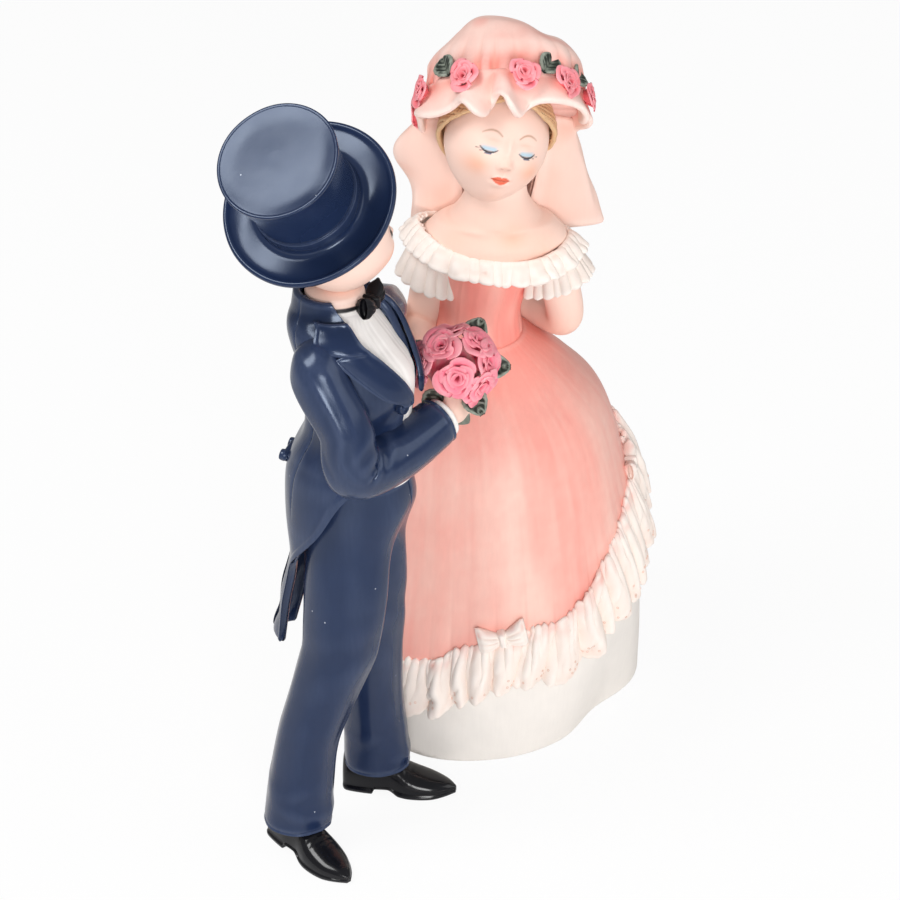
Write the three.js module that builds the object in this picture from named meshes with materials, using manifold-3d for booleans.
// Wedding cake topper: a bride in a pink gown and a groom in a tailcoat, cast in pieces, painted and glued.
// Millimetres, +Z up. The viewer stands on the -Y side and +X is the bride's left hand.
import * as THREE from 'three';
import Module from 'manifold-3d';

const wasm = await Module();
wasm.setup();

// Room left at every glued seam
const GLUE_GAP = 0.3;

// Bride's skirts: the underskirt is the core that everything else of her stands on
const HEM_RADIUS = 31;
const SHIN_HEIGHT = 20;
const SHIN_RADIUS = 30.4;
const KNEE_RISE = 20;
const KNEE_RADIUS = 27.2;
const HIP_RISE = 26;
const HIP_RADIUS = 22.2;
const DOME_RISE = 11;
const DOME_RADIUS = 16.4;
const WAIST_RISE = 9;
const WAIST_RADIUS = 7.4;
const WAIST_SHIFT_X = -4;
const WAIST_SHIFT_Y = -3;
const OVERSKIRT_WALL = 1.4;
const FLOUNCE_DROP = 9.4;
const FLOUNCE_FLARE = 1.6;
const FLOUNCE_FOLD = 0.9;
const FLOUNCE_FOLDS = 18;
const FLOUNCE_WALL = 1.4;

// Bride's body
const BODICE_HEIGHT = 17.5;
const BODICE_HALF_WIDTH = 8.4;
const BODICE_HALF_DEPTH = 7.0;
const BUST_HALF_WIDTH = 10.4;
const BUST_HALF_DEPTH = 8.2;
const SHOULDER_HALF_WIDTH = 13.2;
const SHOULDER_RISE = 8.5;
const NECK_RADIUS = 5.2;
const NECK_RISE = 7;
const RUFFLE_REACH = 2.6;
const RUFFLE_DROP = 2.6;
const RUFFLE_PLEATS = 20;
const RUFFLE_WALL = 1.2;
const SLEEVE_FRILL_REACH = 1.3;
const SLEEVE_FRILL_DROP = 3.4;
const BRIDE_ARM_RADIUS = 3.8;
const BRIDE_WRIST_RADIUS = 2.1;

// Bride's head, bonnet and veil
const BRIDE_HEAD_HALF_WIDTH = 9.7;
const BRIDE_HEAD_HALF_DEPTH = 9.6;
const BRIDE_HEAD_HALF_HEIGHT = 11.7;
const BRIDE_HEAD_RISE = 15.7;
const BRIDE_HEAD_TILT = 16;
const HAIR_WALL = 1.0;
const BONNET_RADIUS = 14.0;
const BONNET_HEIGHT = 14.8;
const BONNET_LEAN = 46;
const BONNET_SEAT = 8.2;
const BONNET_FRILL_DROP = 6.6;
const BONNET_FRILL_REACH = 1.2;
const BONNET_FRILL_WAVES = 11;
const BONNET_FRILL_WALL = 1.3;
const VEIL_HALF_WIDTH = 17.5;
const VEIL_DEPTH = 12.5;
const VEIL_LENGTH = 25;
const VEIL_WALL = 1.5;
const VEIL_TURN_IN = 6.5;
const BONNET_ROSE_RADIUS = 3.0;
const BONNET_LEAF_LENGTH = 5.6;
const BONNET_LEAF_WIDTH = 3.8;

// Groom: his own frame has +X ahead of him and +Y at his left
const GROOM_X = -27.5;
const GROOM_Y = -47.5;
const GROOM_TURN = -20;
const SHOE_LENGTH = 21.4;
const SHOE_HALF_WIDTH = 3.9;
const SHOE_HEIGHT = 8.5;
const HEEL_HEIGHT = 2.2;
const TROUSER_HEM_HEIGHT = 6.3;
const TROUSER_HEM_RADIUS = 6.6;
const TROUSER_KNEE_RADIUS = 6.9;
const TROUSER_RISE = 84;
const HIP_HALF_DEPTH = 8.0;
const HIP_HALF_WIDTH = 9.0;
const TORSO_RISE = 32;
const CHEST_HALF_DEPTH = 7.7;
const CHEST_HALF_WIDTH = 8.5;
const COLLAR_RADIUS = 4.6;
const COLLAR_HEIGHT = 4.5;
const COAT_WALL = 1.4;
const TAIL_DROP = 40;
const TAIL_KICK = 4.2;
const VENT_WIDTH = 1.0;
const LAPEL_WALL = 1.0;
const SLEEVE_RADIUS = 5.2;
const SLEEVE_WRIST_RADIUS = 4.5;
const CUFF_RADIUS = 3.7;
const CUFF_LENGTH = 1.1;
const HAND_LENGTH = 8.5;
const HAND_HALF_WIDTH = 3.2;
const FINGER_RADIUS = 1.0;
const GROOM_HEAD_HALF_WIDTH = 8.6;
const GROOM_HEAD_HALF_DEPTH = 9.2;
const GROOM_HEAD_HALF_HEIGHT = 11.0;
const GROOM_HEAD_RISE = 14.2;
const BOW_TIE_HALF_LENGTH = 3.8;
const BOW_TIE_HALF_HEIGHT = 2.0;
const HAT_BRIM_RADIUS = 15.7;
const HAT_BRIM_WALL = 1.4;
const HAT_CROWN_RADIUS = 9.4;
const HAT_CROWN_FLARE = 1.3;
const HAT_HEIGHT = 18.2;
const HAT_LEAN = 38;
const GROOM_FACE_TURN = 38;
const HAT_BAND_WIDTH = 2.2;
const HAT_BAND_WALL = 0.6;
const BUTTON_RADIUS = 1.3;

// Posy in the groom's right hand
const POSY_X = -8.2;
const POSY_Y = -42.5;
const POSY_DROP = 14.4;
const POSY_LEAN = 50;
const POSY_RADIUS = 5.2;
const POSY_ROSE_RADIUS = 2.65;
const POSY_HANDLE_LENGTH = 7;
const POSY_HANDLE_RADIUS = 1.7;
const POSY_LEAF_LENGTH = 4.6;
const POSY_LEAF_WIDTH = 3.6;

// Ornaments on the hem
const BOW_HALF_LENGTH = 4.4;
const BOW_HALF_HEIGHT = 2.4;

// Heights that follow from the sizes above
const kneeZ = SHIN_HEIGHT + KNEE_RISE;
const hipZ = kneeZ + HIP_RISE;
const domeZ = hipZ + DOME_RISE;
const waistZ = domeZ + WAIST_RISE;
const bustZ = waistZ + BODICE_HEIGHT;
const shoulderZ = bustZ + SHOULDER_RISE;
const neckZ = shoulderZ + NECK_RISE;
const brideHeadZ = shoulderZ + BRIDE_HEAD_RISE;
const chestZ = TROUSER_RISE + TORSO_RISE;
const groomHeadZ = chestZ + GROOM_HEAD_RISE;

// Paint
const paint = (color, roughness) => new THREE.MeshStandardMaterial({ color, roughness, metalness: 0 });
const PAINT = {
  navy: paint(0x2d3a58, 0.42),
  black: paint(0x15161b, 0.25),
  white: paint(0xe9e4dc, 0.55),
  ivory: paint(0xefe2d6, 0.7),
  blush: paint(0xe8b0a2, 0.7),
  coral: paint(0xd98d82, 0.7),
  veil: paint(0xeecbbf, 0.7),
  skin: paint(0xe9b596, 0.6),
  blond: paint(0xb98f62, 0.65),
  brown: paint(0x5a3d2a, 0.6),
  rose: paint(0xdb4f83, 0.55),
  pale: paint(0xe58fa6, 0.6),
  leaf: paint(0x4b5a44, 0.6),
};

// Small helpers
const TAU = Math.PI * 2;
const rad = THREE.MathUtils.degToRad;
const point = (x, y, z) => new THREE.Vector3(x, y, z);
const bump = (x, width) => Math.exp(-(x * x) / (width * width));

function around(sides, place) {
  return Array.from({ length: sides }, (_, i) => place((i / sides) * TAU));
}

// A smooth value through rows of numbers; t runs from 0 at the first row to 1 at the last
function blend(rows, t) {
  const last = rows.length - 1;
  const k = Math.min(Math.floor(t * last), last - 1);
  const w = t * last - k;
  const row = (i) => rows[Math.min(Math.max(i, 0), last)];
  return rows[0].map((_, j) => {
    const [a, b, c, d] = [row(k - 1)[j], row(k)[j], row(k + 1)[j], row(k + 2)[j]];
    const rise = (c - a) / 2;
    const fall = (d - b) / 2;
    const bend = 3 * (c - b) - 2 * rise - fall;
    return b + w * (rise + w * (bend + w * (2 * (b - c) + rise + fall)));
  });
}

// The same rows read by their first number instead of by their place
function lookUp(rows, first) {
  let low = 0;
  let high = 1;
  const falling = rows[0][0] > rows[rows.length - 1][0];
  for (let i = 0; i < 30; i++) {
    const middle = (low + high) / 2;
    if ((blend(rows, middle)[0] < first) !== falling) low = middle;
    else high = middle;
  }
  return blend(rows, low);
}

function closed(points, faces) {
  let volume = 0;
  for (let i = 0; i < faces.length; i += 3) {
    const [a, b, c] = [points[faces[i]], points[faces[i + 1]], points[faces[i + 2]]];
    volume += a.dot(b.clone().cross(c));
  }
  if (volume < 0) faces.reverse();
  const geometry = new THREE.BufferGeometry().setFromPoints(points);
  geometry.setIndex(faces);
  return geometry;
}

// A skin drawn over closed rings, with a flat end on the first and the last
function skin(rings) {
  const n = rings[0].length;
  const points = rings.flat();
  const faces = [];
  for (let r = 1; r < rings.length; r++) {
    for (let i = 0; i < n; i++) {
      const a = (r - 1) * n + i;
      const b = (r - 1) * n + ((i + 1) % n);
      faces.push(a, b, b + n, a, b + n, a + n);
    }
  }
  for (const start of [0, (rings.length - 1) * n]) {
    const middle = point(0, 0, 0);
    for (let i = 0; i < n; i++) middle.addScaledVector(points[start + i], 1 / n);
    const c = points.push(middle) - 1;
    for (let i = 0; i < n; i++) {
      const a = start + i;
      const b = start + ((i + 1) % n);
      faces.push(...(start === 0 ? [b, a, c] : [a, b, c]));
    }
  }
  return closed(points, faces);
}

// Level rings: rows of z, x, y and the two half widths
function tower(rows, sides, steps, shape = () => 1) {
  const rings = [];
  for (let s = 0; s <= steps; s++) {
    const [z, x, y, a, b] = blend(rows, s / steps);
    rings.push(around(sides, (angle) => {
      const swell = shape(angle, s / steps);
      return point(x + a * swell * Math.cos(angle), y + b * swell * Math.sin(angle), z);
    }));
  }
  return skin(rings);
}

// Rings across a bent line: rows of x, y, z and the two half widths
function limb(rows, sides, steps, upward) {
  const rings = [];
  for (let s = 0; s <= steps; s++) {
    const t = s / steps;
    const [x, y, z, a, b] = blend(rows, t);
    const ahead = point(...blend(rows, Math.min(t + 0.02, 1)));
    const along = ahead.sub(point(...blend(rows, Math.max(t - 0.02, 0)))).normalize();
    const up = upward.clone().addScaledVector(along, -upward.dot(along)).normalize();
    const side = along.clone().cross(up);
    rings.push(around(sides, (angle) => point(x, y, z)
      .addScaledVector(up, a * Math.cos(angle)).addScaledVector(side, b * Math.sin(angle))));
  }
  return skin(rings);
}

// A cloth of even thickness over place(u, v); shut joins the last column to the first
function sheet(place, columns, rows, wall, shut) {
  const count = shut ? columns : columns + 1;
  const size = 2 * (rows + 1);
  const points = [];
  const faces = [];
  const step = 0.002;
  for (let c = 0; c < count; c++) {
    const front = [];
    const back = [];
    for (let r = 0; r <= rows; r++) {
      const [u, v] = [c / columns, r / rows];
      const across = place(u + step, v).sub(place(u - step, v));
      const down = place(u, v + step).sub(place(u, v - step));
      const normal = across.cross(down).normalize();
      front.push(place(u, v).addScaledVector(normal, wall / 2));
      back.unshift(place(u, v).addScaledVector(normal, -wall / 2));
    }
    points.push(...front, ...back);
  }
  for (let c = 0; c < (shut ? count : count - 1); c++) {
    const next = ((c + 1) % count) * size;
    for (let k = 0; k < size; k++) {
      const l = (k + 1) % size;
      faces.push(c * size + k, c * size + l, next + l, c * size + k, next + l, next + k);
    }
  }
  for (const start of shut ? [] : [0, (count - 1) * size]) {
    for (let r = 0; r < rows; r++) {
      const [a, b, c, d] = [start + r, start + r + 1, start + size - 2 - r, start + size - 1 - r];
      faces.push(...(start === 0 ? [a, c, b, a, d, c] : [a, b, c, a, c, d]));
    }
  }
  return closed(points, faces);
}

// Joining and cutting
function solidOf(geometry) {
  return new wasm.Manifold(new wasm.Mesh({
    numProp: 3,
    vertProperties: Float32Array.from(geometry.attributes.position.array),
    triVerts: Uint32Array.from(geometry.index.array),
  }));
}

function geometryOf(solid) {
  const bodies = solid.decompose().sort((a, b) => b.volume() - a.volume());
  const mesh = bodies[0].getMesh();
  const geometry = new THREE.BufferGeometry();
  geometry.setAttribute('position', new THREE.BufferAttribute(Float32Array.from(mesh.vertProperties), 3));
  geometry.setIndex(Array.from(mesh.triVerts));
  return geometry;
}

function joined(...geometries) {
  return geometryOf(geometries.map(solidOf).reduce((all, one) => all.add(one)));
}

function grown(geometry, room) {
  const copy = geometry.clone();
  copy.computeVertexNormals();
  const { position, normal } = copy.attributes;
  for (let i = 0; i < position.count; i++) {
    position.setXYZ(i, position.getX(i) + room * normal.getX(i), position.getY(i) + room * normal.getY(i),
      position.getZ(i) + room * normal.getZ(i));
  }
  return copy;
}

// The scene: three groups that stand in one root
const root = new THREE.Group();
root.name = 'wedding_cake_topper';
const pieces = {};

function group(parent, x, y, z) {
  const made = new THREE.Group();
  made.position.set(x, y, z);
  parent.add(made);
  return made;
}

function add(parent, name, geometry, material) {
  const mesh = new THREE.Mesh(geometry, material);
  mesh.name = name;
  parent.add(mesh);
  pieces[name] = mesh;
  return mesh;
}

// Lean a group or mesh so that its own Z points along a direction
function aim(made, x, y, z) {
  made.quaternion.setFromUnitVectors(point(0, 0, 1), point(x, y, z).normalize());
}

// A piece gives way to the pieces it is glued against, and keeps the glue gap
function fit(name, ...others) {
  const mesh = pieces[name];
  const own = mesh.matrixWorld.clone().invert();
  const room = new THREE.Box3().setFromObject(mesh).expandByScalar(GLUE_GAP);
  let solid = solidOf(mesh.geometry);
  for (const other of others) {
    if (!room.intersectsBox(new THREE.Box3().setFromObject(pieces[other]))) continue;
    const cutter = grown(pieces[other].geometry, GLUE_GAP);
    cutter.applyMatrix4(own.clone().multiply(pieces[other].matrixWorld));
    solid = solid.subtract(solidOf(cutter));
  }
  mesh.geometry = geometryOf(solid);
}

// Heads: a doll's egg with cheeks, brow, nose and chin, facing -Y
function headPoint(size, polar, turn, lift) {
  const x = Math.sin(polar) * Math.sin(turn);
  const y = -Math.sin(polar) * Math.cos(turn);
  const z = Math.cos(polar);
  const low = Math.max(-z, 0);
  const front = Math.max(-y, 0);
  const narrow = 1 - 0.2 * low ** 2;
  const cheeks = 0.9 * front * bump(Math.abs(x) - 0.5, 0.3) * bump(z + 0.3, 0.3);
  const nose = 1.5 * front * bump(x, 0.16) * bump(z + 0.14, 0.16);
  const chin = 0.9 * front * bump(x, 0.3) * bump(z + 0.78, 0.2);
  const sockets = 0.6 * front * bump(Math.abs(x) - 0.36, 0.2) * bump(z - 0.06, 0.14);
  const out = lift + cheeks + nose + chin - sockets;
  return point((size[0] * narrow + out) * x, (size[1] * narrow + out) * y, (size[2] + out) * z);
}

function headSolid(size) {
  const rings = [];
  for (let r = 1; r < 12; r++) {
    rings.push(around(16, (angle) => headPoint(size, (r / 12) * Math.PI, angle, 0)));
  }
  return skin(rings);
}

// Hair: a cap over the head, down to the hair line given from the brow round to the nape
function hairCap(size, line) {
  const edge = (u) => {
    const back = Math.abs(((u + 0.5) % 1) - 0.5) * 2;
    return rad(blend(line.map((degrees) => [degrees]), Math.min(back, 1))[0]);
  };
  const place = (u, v) => headPoint(size, rad(14) + v * (edge(u + 1) - rad(14)), u * TAU,
    GLUE_GAP + HAIR_WALL / 2 + 0.35);
  return sheet(place, 16, 4, HAIR_WALL, true);
}

// Roses and leaves
function rose(radius) {
  const rows = [
    [0.62, -0.22, 0, 0], [0.95, -0.05, 5, 0.05], [1, 0.24, 5, 0.09], [0.72, 0.14, 5, 0.05],
    [0.66, 0.5, 4, 0.09],
    [0.42, 0.38, 4, 0.05], [0.32, 0.7, 3, 0.1],
  ];
  return skin(rows.map(([reach, lift, lobes, depth], k) => around(10, (angle) => {
    const r = radius * reach * (1 + depth * Math.cos(lobes * angle + k));
    return point(r * Math.cos(angle), r * Math.sin(angle), radius * lift);
  })));
}

function leaf(length, width) {
  const place = (u, v) => {
    const half = 0.3 + (width / 2) * Math.sin(Math.PI * Math.min(Math.max(u, 0), 1)) ** 0.8;
    const s = 2 * v - 1;
    return point(length * u, half * s, 0.35 * half * Math.abs(s) - 0.8 * u * u);
  };
  return sheet(place, 4, 2, 0.9, false);
}

// A tied bow along X: two loops and a knot
function bow(halfLength, halfHeight, depth) {
  const half = [[1, 0.75, 0.55], [0.75, 1, 0.95], [0.3, 0.5, 0.85], [0.16, 0.5, 1.1]];
  const rows = [...half, ...half.map(([x, a, b]) => [-x, a, b]).reverse()];
  return skin(rows.map(([x, a, b]) => around(8, (angle) => point(halfLength * x,
    depth * b * Math.cos(angle), halfHeight * a * Math.sin(angle)))));
}

// A hand from the wrist at the origin along +X; the closed fingers curl towards -Z
function hand(length, halfWidth, finger, curl) {
  const palm = limb([
    [-0.1 * length, 0, 0, 0.62 * halfWidth, 0.62 * halfWidth],
    [0.25 * length, 0, 0, 0.55 * halfWidth, 0.95 * halfWidth],
    [0.55 * length, 0, -0.15 * curl, 1.2 * finger, halfWidth],
    [0.85 * length, 0, -0.6 * curl, finger, 0.95 * halfWidth],
    [length, 0, -1.2 * curl, 0.6 * finger, 0.7 * halfWidth],
  ], 10, 6, point(0, 0, 1));
  const thumb = limb([
    [0.15 * length, 0.5 * halfWidth, 0, finger, finger],
    [0.4 * length, 1.25 * halfWidth, -0.3 * curl, finger, finger],
    [0.62 * length, 1.3 * halfWidth, -0.7 * curl, 0.6 * finger, 0.6 * finger],
  ], 6, 3, point(0, 0, 1));
  return joined(palm, thumb);
}

// Bride's skirts
const skirtRows = [
  [0, 0, 0, HEM_RADIUS],
  [SHIN_HEIGHT, 0, 0, SHIN_RADIUS],
  [kneeZ, 0, 0, KNEE_RADIUS],
  [hipZ, 0.3 * WAIST_SHIFT_X, 0.3 * WAIST_SHIFT_Y, HIP_RADIUS],
  [domeZ, 0.7 * WAIST_SHIFT_X, 0.7 * WAIST_SHIFT_Y, DOME_RADIUS],
  [waistZ, WAIST_SHIFT_X, WAIST_SHIFT_Y, WAIST_RADIUS],
];

// Shares read round a figure, from the viewer's side to the right and on to the start again
function turnShare(shares, angle) {
  const share = (((angle / TAU) % 1) + 1) % 1;
  const n = shares.length;
  const rows = [...shares.slice(n - 2), ...shares, ...shares.slice(0, 3)].map((one) => [one]);
  return blend(rows, (2 + share * n) / (rows.length - 1))[0];
}

// The foot of the underskirt is drawn in at her left front; the dent fades out at the knee
const FOOT_SHARES = [0.92, 0.84, 0.76, 0.95, 1.03, 0.97, 0.94, 0.98, 1.02, 0.97, 0.98, 1.0];
const folds = (angle, z) => HEM_RADIUS * (turnShare(FOOT_SHARES, angle) - 1)
  * Math.max(1 - z / kneeZ, 0) ** 1.4;

function skirtPoint(angle, z, lift) {
  const [, x, y, r] = lookUp(skirtRows, Math.min(Math.max(z, 0), waistZ));
  const reach = r + folds(angle, z) + lift;
  return point(x + reach * Math.sin(angle), y - reach * Math.cos(angle), z);
}

// Hem of the overskirt, as a share of the waist height
const HEM_SHARES = [0.364, 0.393, 0.523, 0.605, 0.7, 0.767, 0.78, 0.72, 0.593, 0.44, 0.3, 0.227, 0.279];
const hemZ = (angle) => waistZ * turnShare(HEM_SHARES, angle);

const bride = group(root, 0, 0, 0);

function buildSkirts() {
  // The foot has a small edge, and the core is eased where the overskirt hides it
  const relief = (angle, z) => (z > hemZ(angle) - 1 ? -0.5 : z === 0 ? -0.6 : 0);
  const rings = [];
  const levels = [0, 0.012, 0.14, 0.28, 0.42, 0.58, 0.72, 0.82, 0.9, 0.96, 0.985];
  for (const level of levels) {
    rings.push(around(30, (angle) => skirtPoint(angle, level * waistZ, relief(angle, level * waistZ))));
  }
  add(bride, 'bride_underskirt', skin(rings), PAINT.white);
  const lift = GLUE_GAP + OVERSKIRT_WALL / 2;
  const over = (u, v) => {
    const angle = u * TAU;
    return skirtPoint(angle, waistZ - 0.5 + (hemZ(angle) - waistZ + 0.5) * v, lift);
  };
  add(bride, 'bride_overskirt', sheet(over, 30, 7, OVERSKIRT_WALL, true), PAINT.coral);
  const flounce = (u, v) => {
    const angle = u * TAU;
    const wave = FLOUNCE_FOLD * Math.sin(FLOUNCE_FOLDS * angle) * (0.3 + 0.7 * v);
    const deep = FLOUNCE_DROP * (1 + 0.45 * Math.max(Math.sin(angle), 0) ** 2);
    const out = GLUE_GAP + FLOUNCE_WALL / 2 + 0.4 + (FLOUNCE_FLARE + FLOUNCE_FOLD) * v + wave;
    return skirtPoint(angle, hemZ(angle) - GLUE_GAP - deep * v, out);
  };
  add(bride, 'bride_hem_flounce', sheet(flounce, 4 * FLOUNCE_FOLDS, 2, FLOUNCE_WALL, true), PAINT.ivory);
  for (const [name, degrees, scale] of [['bride_front_bow', 2, 1.1], ['bride_side_bow', 88, 0.8]]) {
    const angle = rad(degrees);
    const tied = bow(scale * BOW_HALF_LENGTH, scale * BOW_HALF_HEIGHT, 1.5 * scale);
    const mesh = add(bride, name, tied, PAINT.ivory);
    mesh.position.copy(skirtPoint(angle, hemZ(angle) + 0.4 * BOW_HALF_HEIGHT, OVERSKIRT_WALL + 1.4));
    mesh.rotation.set(rad(-8), rad(-12), angle, 'ZXY');
  }
}

// Bride's bodice, bust, arms and frills
function buildBrideBody() {
  const [bx, by] = [0.4 * WAIST_SHIFT_X, 1.2 * WAIST_SHIFT_Y];
  const waist = WAIST_RADIUS + OVERSKIRT_WALL;
  add(bride, 'bride_bodice', tower([
    [waistZ + 0.5 * GLUE_GAP, WAIST_SHIFT_X, WAIST_SHIFT_Y, waist, waist],
    [waistZ + 0.3 * BODICE_HEIGHT, 0.95 * WAIST_SHIFT_X, WAIST_SHIFT_Y, BODICE_HALF_WIDTH, BODICE_HALF_DEPTH],
    [waistZ + 0.75 * BODICE_HEIGHT, 0.7 * WAIST_SHIFT_X, 1.15 * WAIST_SHIFT_Y,
      BUST_HALF_WIDTH - 0.8, BUST_HALF_DEPTH],
    [bustZ, bx, by, BUST_HALF_WIDTH, BUST_HALF_DEPTH - 0.4],
  ], 18, 5), PAINT.coral);
  add(bride, 'bride_bust', tower([
    [bustZ + GLUE_GAP, bx, by, BUST_HALF_WIDTH, BUST_HALF_DEPTH - 0.6],
    [bustZ + 0.42 * SHOULDER_RISE, 0.22 * WAIST_SHIFT_X, by, SHOULDER_HALF_WIDTH, BUST_HALF_DEPTH - 0.7],
    [bustZ + 0.82 * SHOULDER_RISE, 0.15 * WAIST_SHIFT_X, by,
      0.84 * SHOULDER_HALF_WIDTH, 0.8 * BUST_HALF_DEPTH],
    [shoulderZ, 0.12 * WAIST_SHIFT_X, by, 1.65 * NECK_RADIUS, 1.32 * NECK_RADIUS],
    [neckZ - 0.5 * NECK_RISE, 0.12 * WAIST_SHIFT_X, by - 0.4, 1.2 * NECK_RADIUS, 1.15 * NECK_RADIUS],
    [neckZ, 0.12 * WAIST_SHIFT_X, by - 1, 1.1 * NECK_RADIUS, 1.1 * NECK_RADIUS],
  ], 16, 8), PAINT.skin);
  const ruffle = (u, v) => {
    const angle = u * TAU;
    const wave = Math.sin(RUFFLE_PLEATS * angle) * (0.25 + 0.4 * v);
    const reach = RUFFLE_REACH * v + wave;
    const tip = 2.4 * Math.abs(Math.sin(angle)) ** 3 - 1.0 * Math.max(Math.cos(angle), 0)
      - 1.6 * Math.sin(angle);
    const wide = SHOULDER_HALF_WIDTH + GLUE_GAP + RUFFLE_WALL / 2;
    return point(0.2 * WAIST_SHIFT_X + (wide + reach) * Math.sin(angle),
      by - (BUST_HALF_DEPTH - 0.3 + reach) * Math.cos(angle),
      bustZ + 2.6 + tip - RUFFLE_DROP * Math.max(v, 0) ** 1.3 + 0.4 * wave);
  };
  add(bride, 'bride_neckline_ruffle', sheet(ruffle, 3 * RUFFLE_PLEATS, 2, RUFFLE_WALL, true), PAINT.ivory);
  const [r, w] = [BRIDE_ARM_RADIUS, BRIDE_WRIST_RADIUS];
  const shoulder = SHOULDER_HALF_WIDTH - 3.2;
  const leftArm = [
    [shoulder + 0.2, by + 0.4, bustZ - 0.2, 0.9 * r, 0.9 * r], [shoulder + 1.6, by + 0.2, bustZ - 6, r, r],
    [shoulder + 3, by + 2, waistZ + 2, 0.92 * r, 0.92 * r],
    [shoulder - 1.5, by + 8.2, waistZ - 0.6, 0.8 * r, 0.8 * r],
    [shoulder - 7, by + 11.6, waistZ - 0.6, w, w],
  ];
  const rightArm = [
    [-shoulder - 1.4, by + 0.4, bustZ + 1.2, 0.9 * r, 0.9 * r],
    [-shoulder - 2.6, by - 0.4, bustZ - 6.5, r, r],
    [-shoulder - 4.4, by - 0.6, waistZ + 2.8, 0.92 * r, 0.92 * r],
    [-shoulder - 6.6, by - 8, waistZ + 2.2, 0.8 * r, 0.8 * r],
    [-shoulder - 6.8, by - 14, waistZ + 3.6, w, w],
  ];
  const arm = (rows, upward, fingers) => {
    const end = point(...rows[4]);
    const turn = new THREE.Matrix4().lookAt(point(...rows[4]), point(...rows[3]), fingers);
    const placed = new THREE.Matrix4().makeBasis(
      new THREE.Vector3().setFromMatrixColumn(turn, 2),
      new THREE.Vector3().setFromMatrixColumn(turn, 0),
      new THREE.Vector3().setFromMatrixColumn(turn, 1),
    ).setPosition(end);
    const palm = hand(0.9 * HAND_LENGTH, 0.8 * HAND_HALF_WIDTH, 0.8 * FINGER_RADIUS, 1.2);
    palm.applyMatrix4(placed);
    return joined(limb(rows, 11, 8, upward), palm);
  };
  add(bride, 'bride_left_arm', arm(leftArm, point(1, 0.4, 0.3), point(0, 0.5, 0.9)), PAINT.skin);
  add(bride, 'bride_right_arm', arm(rightArm, point(1, 0.2, 0.3), point(-1, 0, -0.4)), PAINT.skin);
  const frill = (rows, side) => (u, v) => {
    const angle = rad(-150 + 240 * u);
    const [x, y, z, a] = blend(rows, 0.02 + 0.12 * v);
    const wave = Math.sin(rad(1980 * u)) * (0.2 + 0.35 * v);
    const reach = a + GLUE_GAP + RUFFLE_WALL / 2 + 0.3 + SLEEVE_FRILL_REACH * v + wave;
    return point(x + side * reach * Math.cos(angle), y + reach * Math.sin(angle),
      z + 0.2 - (SLEEVE_FRILL_DROP - 1.4) * v + 0.3 * v * reach * Math.cos(angle));
  };
  add(bride, 'bride_left_sleeve_frill', sheet(frill(leftArm, 1), 22, 1, RUFFLE_WALL, false), PAINT.ivory);
  add(bride, 'bride_right_sleeve_frill', sheet(frill(rightArm, -1), 22, 1, RUFFLE_WALL, false), PAINT.ivory);
}

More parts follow.
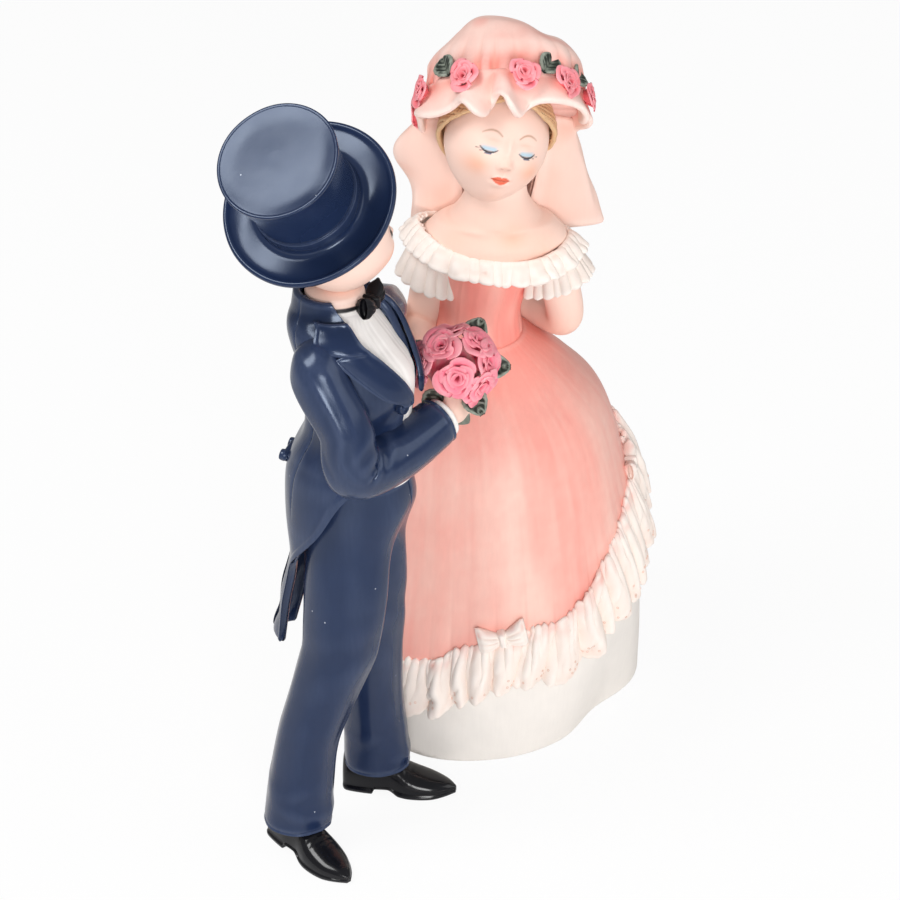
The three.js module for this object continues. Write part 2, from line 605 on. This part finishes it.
// Bride's head, hair, bonnet and veil
function buildBrideHead() {
  const size = [BRIDE_HEAD_HALF_WIDTH, BRIDE_HEAD_HALF_DEPTH, BRIDE_HEAD_HALF_HEIGHT];
  const y = 1.6 * WAIST_SHIFT_Y;
  const head = group(bride, 0.12 * WAIST_SHIFT_X, y, brideHeadZ);
  head.rotation.set(rad(-14), rad(BRIDE_HEAD_TILT), rad(14), 'ZXY');
  add(head, 'bride_head', headSolid(size), PAINT.skin);
  add(head, 'bride_hair', hairCap(size, [40, 60, 86, 116, 132]), PAINT.blond);
  const lean = rad(BONNET_LEAN);
  const bonnet = group(bride, 0.7, y + BONNET_SEAT * Math.sin(lean),
    brideHeadZ + BONNET_SEAT * Math.cos(lean));
  bonnet.rotation.set(-lean, 0, 0);
  const gather = (angle, t) => 1 + 0.022 * Math.cos(11 * angle) * Math.sin(Math.PI * t);
  const [r, h] = [BONNET_RADIUS, BONNET_HEIGHT];
  add(bonnet, 'bride_bonnet_crown', tower([
    [-0.16 * h, 0, 0, 0.84 * r, 0.84 * r], [0, 0, 0, 0.95 * r, 0.95 * r], [0.22 * h, 0, 0, r, r],
    [0.5 * h, 0, 0, 0.9 * r, 0.9 * r], [0.78 * h, 0, 0, 0.62 * r, 0.62 * r],
    [0.95 * h, 0, 0, 0.3 * r, 0.3 * r],
    [h, 0, 0, 0.05 * r, 0.05 * r],
  ], 22, 8, gather), PAINT.blush);
  const frill = (u, v) => {
    const angle = u * TAU;
    const wave = Math.sin(BONNET_FRILL_WAVES * angle);
    const reach = 0.97 * r + GLUE_GAP + BONNET_FRILL_WALL / 2 + BONNET_FRILL_REACH * v + 0.9 * v * wave;
    const drop = BONNET_FRILL_DROP * (0.68 + 0.32 * Math.cos(angle));
    return point(reach * Math.sin(angle), -reach * Math.cos(angle),
      -0.4 - drop * v + 0.7 * v * Math.cos(BONNET_FRILL_WAVES * angle));
  };
  const edging = sheet(frill, 4 * BONNET_FRILL_WAVES, 2, BONNET_FRILL_WALL, true);
  add(bonnet, 'bride_bonnet_frill', edging, PAINT.blush);
  const veil = (u, v) => {
    const angle = rad(97) + u * rad(166);
    const spread = 0.9 + 0.22 * Math.max(v, 0) ** 0.7 + 0.03 * v * Math.sin(9 * Math.PI * u);
    const low = VEIL_LENGTH * (1 + 0.12 * Math.sin(Math.PI * u));
    const edge = Math.max(1 - Math.min(u, 1 - u) / 0.16, 0);
    const turnedIn = VEIL_TURN_IN * edge ** 2 * (1 - 0.15 * v);
    const wide = VEIL_HALF_WIDTH * spread - turnedIn;
    return point(wide * Math.sin(angle), y + 4 - VEIL_DEPTH * spread * Math.cos(angle),
      brideHeadZ + 3.5 - 10 * Math.max(-Math.cos(angle), 0) * (1 - v) - low * v);
  };
  add(bride, 'bride_veil', sheet(veil, 20, 4, VEIL_WALL, false), PAINT.veil);
  const band = 0.97 * r + 2 * GLUE_GAP + BONNET_FRILL_WALL;
  for (const [i, degrees] of [-108, -66, -26, 13, 45, 77].entries()) {
    const angle = rad(degrees);
    const mesh = add(bonnet, `bride_bonnet_rose_${i + 1}`, rose(BONNET_ROSE_RADIUS), PAINT.pale);
    const out = band + 0.25 * BONNET_ROSE_RADIUS;
    mesh.position.set(out * Math.sin(angle), -out * Math.cos(angle), -1);
    aim(mesh, Math.sin(angle), -Math.cos(angle), 0);
  }
  for (const [i, [degrees, tip]] of [[-40, 80], [-86, 80], [28, 80], [60, 110]].entries()) {
    const angle = rad(degrees);
    const blade = leaf(BONNET_LEAF_LENGTH, BONNET_LEAF_WIDTH);
    const mesh = add(bonnet, `bride_bonnet_leaf_${i + 1}`, blade, PAINT.leaf);
    mesh.position.set((band - 0.1) * Math.sin(angle), -(band - 0.1) * Math.cos(angle), 0.2);
    aim(mesh, Math.sin(angle), -Math.cos(angle), 0.2);
    mesh.rotateZ(rad(tip));
  }
}

// Groom
const groom = group(root, GROOM_X, GROOM_Y, 0);
groom.rotation.z = rad(GROOM_TURN);
const RIGHT_ANKLE = [-8.3, -9];
const LEFT_ANKLE = [-0.5, 13];

function shoe(heel, height) {
  const rows = [
    [0, 0.62, 0.9], [0.05, 0.86, 1], [0.25, 0.92, 1], [0.42, 0.84, 0.86], [0.6, 1, 0.58], [0.78, 0.96, 0.42],
    [0.92, 0.62, 0.32], [1, 0.2, 0.2],
  ];
  const rings = [];
  for (let s = 0; s <= 8; s++) {
    const [x, wide, tall] = blend(rows, s / 8);
    const ring = [];
    for (let i = 0; i <= 7; i++) {
      const angle = (i / 7) * Math.PI;
      ring.push(point(x * SHOE_LENGTH, SHOE_HALF_WIDTH * wide * Math.cos(angle),
        0.9 + (height * tall - 0.9) * Math.sin(angle) ** 0.7));
    }
    ring.push(point(x * SHOE_LENGTH, -0.94 * SHOE_HALF_WIDTH * wide, 0));
    ring.push(point(x * SHOE_LENGTH, 0.94 * SHOE_HALF_WIDTH * wide, 0));
    rings.push(ring);
  }
  const notch = skin([-1, 1].map((s) => [[-1, -1], [1, -1], [1, 0.1], [-1, 1]].map(([x, z]) => point(
    (0.36 + 0.07 * x) * SHOE_LENGTH, 2 * s * SHOE_HALF_WIDTH, z * 0.5 * heel))));
  return geometryOf(solidOf(skin(rings)).subtract(solidOf(notch)));
}

function buildLegs() {
  const top = TROUSER_RISE;
  const leg = (side, [ankleX, ankleY], kneeX) => tower([
    [top, 0.6, 0, HIP_HALF_DEPTH - 0.2, HIP_HALF_WIDTH],
    [0.93 * top, 1, 0.6 * side, HIP_HALF_DEPTH + 0.5, HIP_HALF_WIDTH + 0.4],
    [0.83 * top, 1.2, 3.4 * side, HIP_HALF_DEPTH + 0.2, 0.8 * HIP_HALF_WIDTH],
    [0.7 * top, 1.2, 5.4 * side, 1.12 * TROUSER_KNEE_RADIUS, 0.97 * TROUSER_KNEE_RADIUS],
    [0.55 * top, 0.3 * ankleX + kneeX, 4 * side + 0.25 * ankleY,
      1.03 * TROUSER_KNEE_RADIUS, 0.92 * TROUSER_KNEE_RADIUS],
    [0.32 * top, 0.7 * ankleX, 1.5 * side + 0.7 * ankleY,
      0.92 * TROUSER_HEM_RADIUS, 0.86 * TROUSER_HEM_RADIUS],
    [0.17 * top, 0.92 * ankleX, 0.96 * ankleY, 0.95 * TROUSER_HEM_RADIUS, 0.88 * TROUSER_HEM_RADIUS],
    [TROUSER_HEM_HEIGHT, ankleX, ankleY, TROUSER_HEM_RADIUS, 0.94 * TROUSER_HEM_RADIUS],
  ], 14, 11);
  const legs = [['right', -1, RIGHT_ANKLE, 2.4, 26], ['left', 1, LEFT_ANKLE, 0.6, 9]];
  for (const [name, side, ankle, knee, splay] of legs) {
    const far = -side * (4 * HIP_HALF_WIDTH - GLUE_GAP / 2);
    const near = side * (GLUE_GAP / 2);
    const corners = [[-1, far], [1, far], [1, near], [-1, near]];
    const block = skin([0, 1.5 * top].map((z) => corners.map(([x, y]) => point(3 * x * HIP_HALF_DEPTH, y, z))));
    add(groom, `groom_${name}_trouser_leg`,
      geometryOf(solidOf(leg(side, ankle, knee)).subtract(solidOf(block))), PAINT.navy);
    const pair = add(groom, `groom_${name}_shoe`, shoe(HEEL_HEIGHT, SHOE_HEIGHT), PAINT.black);
    const toe = rad(side * splay);
    pair.rotation.z = toe;
    const heelward = 0.3 * SHOE_LENGTH;
    pair.position.set(ankle[0] - heelward * Math.cos(toe), ankle[1] - heelward * Math.sin(toe), 0);
  }
}

// Coat surface: rows of z, x, half depth, half width and the half angle of the front opening
const tailZ = TROUSER_RISE - TAIL_DROP;
const room = GLUE_GAP + COAT_WALL + 0.5;
const coatRows = [
  [chestZ + 4.2, -2.4, COLLAR_RADIUS + 2.2, COLLAR_RADIUS + 2.2, 66],
  [chestZ + 1.2, -1.9, COLLAR_RADIUS + 3.1, COLLAR_RADIUS + 3.1, 54],
  [chestZ - 1.5, -1.1, CHEST_HALF_DEPTH - 0.9 + room, CHEST_HALF_WIDTH - 0.4 + room, 46],
  [chestZ - 5, 0.2, CHEST_HALF_DEPTH - 0.3 + room, CHEST_HALF_WIDTH + 0.3 + room, 34],
  [chestZ - 11, 2.3, CHEST_HALF_DEPTH + room, CHEST_HALF_WIDTH + room, 13],
  [chestZ - 15, 2.6, CHEST_HALF_DEPTH + room, CHEST_HALF_WIDTH - 0.6 + room, 4],
  [TROUSER_RISE + 9.5, 2, CHEST_HALF_DEPTH - 0.4 + room, CHEST_HALF_WIDTH - 0.6 + room, 9],
  [TROUSER_RISE + 3.5, 0.6, HIP_HALF_DEPTH + 0.4 + room, HIP_HALF_WIDTH + 0.2 + room, 50],
  [TROUSER_RISE - 1, 0.2, HIP_HALF_DEPTH + 1.2 + room, HIP_HALF_WIDTH + 1 + room, 75],
  [TROUSER_RISE - 0.22 * TAIL_DROP, 0, HIP_HALF_DEPTH + 1.2 + room, HIP_HALF_WIDTH + 1.2 + room, 97],
  [TROUSER_RISE - 0.48 * TAIL_DROP, 0, HIP_HALF_DEPTH + 1 + room, HIP_HALF_WIDTH + 1 + room, 138],
  [TROUSER_RISE - 0.74 * TAIL_DROP, 0, HIP_HALF_DEPTH + 0.8 * TAIL_KICK + room, HIP_HALF_WIDTH + room, 148],
  [tailZ, 0, HIP_HALF_DEPTH + TAIL_KICK + room, HIP_HALF_WIDTH + room, 160],
];

// turn is measured from straight ahead to the groom's left
function coatPoint(row, turn, lift) {
  const [z, x, a, b] = row;
  return point(x + (a + lift) * Math.cos(turn), (b + lift) * Math.sin(turn), z);
}

function buildGroomBody() {
  const shirtTop = chestZ + COLLAR_HEIGHT;
  add(groom, 'groom_shirt_front', tower([
    [TROUSER_RISE + GLUE_GAP, 0.8, 0, HIP_HALF_DEPTH - 0.6, HIP_HALF_WIDTH - 0.6],
    [TROUSER_RISE + 9.5, 2, 0, CHEST_HALF_DEPTH - 0.8, CHEST_HALF_WIDTH - 1],
    [chestZ - 11, 2.3, 0, CHEST_HALF_DEPTH, CHEST_HALF_WIDTH],
    [chestZ - 5, 0.8, 0, CHEST_HALF_DEPTH - 0.9, CHEST_HALF_WIDTH + 0.3],
    [chestZ - 1.5, 0, 0, CHEST_HALF_DEPTH - 2, CHEST_HALF_WIDTH - 0.6],
    [chestZ + 0.8, -1.2, 0, COLLAR_RADIUS + 0.9, COLLAR_RADIUS + 1],
    [shirtTop, -2, 0.2, COLLAR_RADIUS + 0.4, COLLAR_RADIUS + 0.2],
  ], 16, 9), PAINT.white);
  const shell = (u, v) => {
    const row = blend(coatRows, Math.min(Math.max(v, 0), 1));
    const open = rad(row[4]);
    return coatPoint(row, open + u * (TAU - 2 * open), -COAT_WALL / 2);
  };
  const corners = [[-1, -1], [1, -1], [1, 1], [-1, 1]];
  const vent = skin([tailZ - 5, TROUSER_RISE - 4].map((z) => corners.map(([x, y]) => point(
    -HIP_HALF_DEPTH - 4 + 9 * x, (y * VENT_WIDTH) / 2, z))));
  add(groom, 'groom_tailcoat',
    geometryOf(solidOf(sheet(shell, 16, 12, COAT_WALL, false)).subtract(solidOf(vent))), PAINT.navy);
  for (const [name, side] of [['right', -1], ['left', 1]]) {
    const spans = [[36], [40], [35], [33], [26], [8]];
    const lapel = (u, v) => {
      const t = Math.min(Math.max(v, 0), 1);
      const row = blend(coatRows, 0.07 + 0.34 * t);
      const turn = rad(row[4] - 3 + (blend(spans, t)[0] + 3) * u);
      return coatPoint(row, side * turn, GLUE_GAP + LAPEL_WALL / 2 + 0.25);
    };
    add(groom, `groom_${name}_lapel`, sheet(lapel, 3, 7, LAPEL_WALL, false), PAINT.navy);
  }
  const front = add(groom, 'groom_front_button', button(BUTTON_RADIUS), PAINT.navy);
  const closing = blend(coatRows, 5 / 12);
  front.position.copy(coatPoint(closing, rad(-12), 0.4));
  aim(front, 1, -0.2, 0.1);
  const tab = joined(
    button(BUTTON_RADIUS).translate(-BUTTON_RADIUS * 1.6, 0, 0),
    button(BUTTON_RADIUS).translate(BUTTON_RADIUS * 1.6, 0, 0),
    skin([-1, 1].map((s) => [[-1, -1], [1, -1], [1, 1], [-1, 1]].map(([y, z]) => point(
      s * BUTTON_RADIUS * 2.4, 1.2 * y, 0.1 + 0.4 * z)))),
  );
  const back = add(groom, 'groom_back_tab', tab, PAINT.navy);
  back.position.copy(coatPoint(blend(coatRows, 7.7 / 12), rad(180), 0.2));
  back.rotation.set(0, rad(-90), rad(90), 'ZYX');
  aim(back, -1, 0, 0.15);
  back.rotateZ(rad(90));
  const tie = add(groom, 'groom_bow_tie', bow(BOW_TIE_HALF_LENGTH, BOW_TIE_HALF_HEIGHT, 1.5), PAINT.black);
  tie.position.set(COLLAR_RADIUS + 0.2, 0.3, chestZ + 3.2);
  tie.rotation.z = rad(92);
}

function button(radius) {
  return skin([[0.9, -0.9], [1, 0.2], [0.75, 0.75], [0.2, 0.9]].map(([r, z]) => around(8, (angle) => point(
    radius * r * Math.cos(angle), radius * r * Math.sin(angle), z))));
}

function buildGroomArms() {
  const [r, w] = [SLEEVE_RADIUS, SLEEVE_WRIST_RADIUS];
  const shoulder = CHEST_HALF_WIDTH + 1.2;
  const rightArm = [
    [-1, -shoulder + 2.4, chestZ - 3.4, 0.72 * r, 0.72 * r],
    [-0.4, -shoulder - 1.6, chestZ - 6.8, 0.94 * r, 0.94 * r],
    [5, -shoulder - 3.2, chestZ - 16, 0.9 * r, 0.9 * r], [6.4, -shoulder - 2.6, chestZ - 24.4, r, 0.98 * r],
    [11.4, -shoulder + 5, chestZ - 24.2, 0.96 * r, 0.96 * r], [16, -shoulder + 14, chestZ - 21.8, w, w],
  ];
  const leftArm = [
    [2.2, shoulder - 2.4, chestZ - 3.6, 0.72 * r, 0.72 * r],
    [1.6, shoulder + 2, chestZ - 6, 0.92 * r, 0.92 * r],
    [-0.8, shoulder + 10, chestZ - 10.5, 0.9 * r, 0.9 * r],
    [-4.4, shoulder + 16.5, chestZ - 15.8, 0.88 * r, 0.88 * r],
    [-6.6, shoulder + 21.5, chestZ - 19, 0.9 * w, 0.9 * w],
    [-7, shoulder + 25, chestZ - 20.6, 0.9 * w, 0.9 * w],
  ];
  const tip = (rows, beyond) => {
    const end = point(...rows[5]);
    const along = end.clone().sub(point(...blend(rows, 0.94))).normalize();
    return [end.clone().addScaledVector(along, beyond), along];
  };
  for (const [name, rows, cuffed] of [['right', rightArm, true], ['left', leftArm, false]]) {
    add(groom, `groom_${name}_sleeve`, limb(rows, 11, 10, point(0.3, 0, 1)), PAINT.navy);
    const [seat, along] = tip(rows, GLUE_GAP);
    const reach = cuffed ? CUFF_LENGTH : 0;
    if (cuffed) {
      const cuff = skin([0, CUFF_LENGTH].map((z) => around(16, (angle) => point(
        CUFF_RADIUS * Math.cos(angle), CUFF_RADIUS * Math.sin(angle), z))));
      const mesh = add(groom, `groom_${name}_cuff`, cuff, PAINT.white);
      mesh.position.copy(seat);
      aim(mesh, along.x, along.y, along.z);
    }
    const made = hand(HAND_LENGTH, HAND_HALF_WIDTH, FINGER_RADIUS, cuffed ? 3.2 : 1.4);
    const mesh = add(groom, `groom_${name}_hand`, made, PAINT.skin);
    mesh.position.copy(seat).addScaledVector(along, reach + GLUE_GAP + 0.1 * HAND_LENGTH);
    const up = (cuffed ? point(0.75, -0.55, 0.1) : point(-0.7, -0.2, 0.6));
    up.addScaledVector(along, -up.dot(along)).normalize();
    mesh.quaternion.setFromRotationMatrix(new THREE.Matrix4().makeBasis(along, up.clone().cross(along), up));
  }
}

function buildGroomHead() {
  const size = [GROOM_HEAD_HALF_WIDTH, GROOM_HEAD_HALF_DEPTH, GROOM_HEAD_HALF_HEIGHT];
  const head = group(groom, -1, 0.6, groomHeadZ);
  head.rotation.set(rad(2), rad(-16), rad(98), 'ZXY');
  head.rotateZ(rad(GROOM_FACE_TURN));
  add(head, 'groom_head', headSolid(size), PAINT.skin);
  add(head, 'groom_hair', hairCap(size, [46, 54, 68, 84, 96]), PAINT.brown);
  const lean = rad(HAT_LEAN);
  const hat = group(groom, -4.8, -1.9, groomHeadZ + 0.6 * GROOM_HEAD_HALF_HEIGHT);
  aim(hat, -0.14 * Math.sin(lean), -0.99 * Math.sin(lean), Math.cos(lean));
  const [brim, crown, wall, height] = [HAT_BRIM_RADIUS, HAT_CROWN_RADIUS, HAT_BRIM_WALL, HAT_HEIGHT];
  const profile = [
    [0.5 * crown, 0], [0.9 * brim, 0], [0.985 * brim, 0.6 * wall], [brim, 1.3 * wall],
    [0.97 * brim, 1.55 * wall],
    [0.88 * brim, 1.15 * wall], [1.06 * crown, wall], [crown, wall + 0.5], [crown, wall + 0.4 * height],
    [crown + 0.35 * HAT_CROWN_FLARE, 0.7 * height], [crown + HAT_CROWN_FLARE, height - 0.6],
    [crown + HAT_CROWN_FLARE - 0.5, height], [0.5 * crown, height - 0.5],
  ];
  add(hat, 'groom_top_hat', skin(profile.map(([r, z]) => around(22, (angle) => point(
    r * Math.cos(angle), r * Math.sin(angle), z)))), PAINT.navy);
  const band = (u, v) => {
    const reach = crown + GLUE_GAP + HAT_BAND_WALL / 2;
    return point(reach * Math.cos(u * TAU), reach * Math.sin(u * TAU),
      wall + 0.7 + GLUE_GAP + HAT_BAND_WIDTH * v);
  };
  add(hat, 'groom_hat_band', sheet(band, 22, 1, HAT_BAND_WALL, true), PAINT.black);
}

// Posy
function buildPosy() {
  const posy = group(root, POSY_X, POSY_Y, chestZ - POSY_DROP);
  const [r, w, h] = [POSY_RADIUS, POSY_HANDLE_RADIUS, POSY_HANDLE_LENGTH];
  const ball = tower([
    [-r, 0, 0, 0.2 * r, 0.2 * r], [-0.8 * r, 0, 0, 0.6 * r, 0.6 * r], [0, 0, 0, r, r],
    [0.8 * r, 0, 0, 0.6 * r, 0.6 * r], [r, 0, 0, 0.2 * r, 0.2 * r],
  ], 12, 6);
  const handle = limb([
    [0, 0, 0, w, w], [0.3, -0.5, -0.5 * r, w, w], [1, -2, -r - 0.3 * h, w, w],
    [1.4, -3, -r - 0.7 * h, 0.9 * w, 0.9 * w],
  ], 8, 4, point(1, 0, 0));
  add(posy, 'posy_holder', joined(ball, handle), PAINT.leaf);
  const flowers = group(posy, 0, 0, 0);
  flowers.rotation.x = rad(POSY_LEAN);
  const seat = r + 0.22 * POSY_ROSE_RADIUS - GLUE_GAP;
  const turns = [[38, 132], [30, -83], [74, 100], [60, 42], [66, 0], [74, -42], [66, 176]];
  for (const [i, [polar, turn]] of turns.entries()) {
    const out = point(Math.sin(rad(polar)) * Math.cos(rad(turn)), Math.sin(rad(polar)) * Math.sin(rad(turn)),
      Math.cos(rad(polar)));
    const mesh = add(flowers, `posy_rose_${i + 1}`, rose(POSY_ROSE_RADIUS), PAINT.rose);
    mesh.position.copy(out.clone().multiplyScalar(seat));
    aim(mesh, out.x, out.y, out.z);
  }
  for (const [i, turn] of [-120, -60, 0, 60, 160].entries()) {
    const angle = rad(turn);
    const mesh = add(flowers, `posy_leaf_${i + 1}`, leaf(POSY_LEAF_LENGTH, POSY_LEAF_WIDTH), PAINT.leaf);
    mesh.position.set((r - GLUE_GAP) * Math.cos(angle), (r - GLUE_GAP) * Math.sin(angle), -0.1 * r);
    mesh.rotation.set(0, rad(-10), angle, 'ZXY');
  }
}

buildSkirts();
buildBrideBody();
buildBrideHead();
buildLegs();
buildGroomBody();
buildGroomArms();
buildGroomHead();
buildPosy();
root.updateMatrixWorld(true);

// Seating order: each piece is trimmed by the ones it is glued to
const list = (stem, count) => Array.from({ length: count }, (_, i) => `${stem}_${i + 1}`);
fit('bride_hem_flounce', 'bride_overskirt');
fit('bride_front_bow', 'bride_hem_flounce', 'bride_overskirt', 'bride_underskirt');
fit('bride_side_bow', 'bride_hem_flounce', 'bride_overskirt', 'bride_underskirt');
fit('bride_head', 'bride_bust', 'bride_bonnet_crown');
fit('bride_hair', 'bride_bust', 'bride_bonnet_crown', 'bride_bonnet_frill');
fit('bride_neckline_ruffle', 'bride_bust', 'bride_bodice');
fit('groom_right_shoe', 'groom_right_trouser_leg');
fit('groom_left_shoe', 'groom_left_trouser_leg');
fit('groom_right_lapel', 'groom_tailcoat', 'groom_shirt_front');
fit('groom_left_sleeve', 'groom_tailcoat', 'groom_shirt_front');
fit('groom_left_lapel', 'groom_tailcoat', 'groom_shirt_front', 'groom_left_sleeve');
const coat = ['groom_tailcoat', 'groom_right_lapel', 'groom_left_lapel', 'groom_shirt_front'];
fit('groom_front_button', ...coat);
fit('groom_back_tab', ...coat);
fit('groom_head', 'groom_top_hat', ...coat);
fit('groom_hair', 'groom_top_hat', ...coat);
fit('groom_bow_tie', 'groom_head', ...coat);
fit('groom_right_sleeve', ...coat, 'groom_front_button');
fit('groom_right_cuff', 'groom_right_sleeve');
fit('groom_right_hand', 'groom_right_cuff', 'posy_holder');
const brideCore = ['bride_bodice', 'bride_bust', 'bride_neckline_ruffle', 'bride_overskirt'];
fit('bride_left_arm', ...brideCore);
fit('bride_right_arm', ...brideCore);
fit('groom_left_sleeve', 'bride_right_arm');
fit('groom_left_hand', 'groom_left_sleeve', 'bride_right_arm', ...brideCore);
fit('bride_left_sleeve_frill', 'bride_left_arm', ...brideCore);
fit('bride_right_sleeve_frill', 'bride_right_arm', ...brideCore, 'groom_left_sleeve',
  'groom_left_hand');
fit('bride_veil', 'bride_bonnet_crown', 'bride_bonnet_frill', 'bride_hair', 'bride_head', ...brideCore,
  'bride_left_sleeve_frill', 'bride_right_sleeve_frill', 'bride_left_arm', 'bride_right_arm');
const bonnet = ['bride_bonnet_crown', 'bride_bonnet_frill', 'bride_veil'];
const bonnetRoses = list('bride_bonnet_rose', 6);
for (const name of bonnetRoses) fit(name, ...bonnet);
for (const name of list('bride_bonnet_leaf', 4)) fit(name, ...bonnet, ...bonnetRoses);
const besidePosy = [...coat, 'groom_right_sleeve', 'groom_right_cuff', 'groom_right_hand',
  'groom_front_button'];
const posyRoses = list('posy_rose', 7);
for (const [i, name] of posyRoses.entries()) {
  fit(name, 'posy_holder', ...posyRoses.slice(0, i), ...besidePosy);
}
for (const name of list('posy_leaf', 5)) fit(name, 'posy_holder', ...posyRoses, ...besidePosy);

// Stand the pair on the middle of its own footprint
const box = new THREE.Box3().setFromObject(root, true);
const middle = box.getCenter(point(0, 0, 0));
root.position.set(-middle.x, -middle.y, -box.min.z);

export default root;
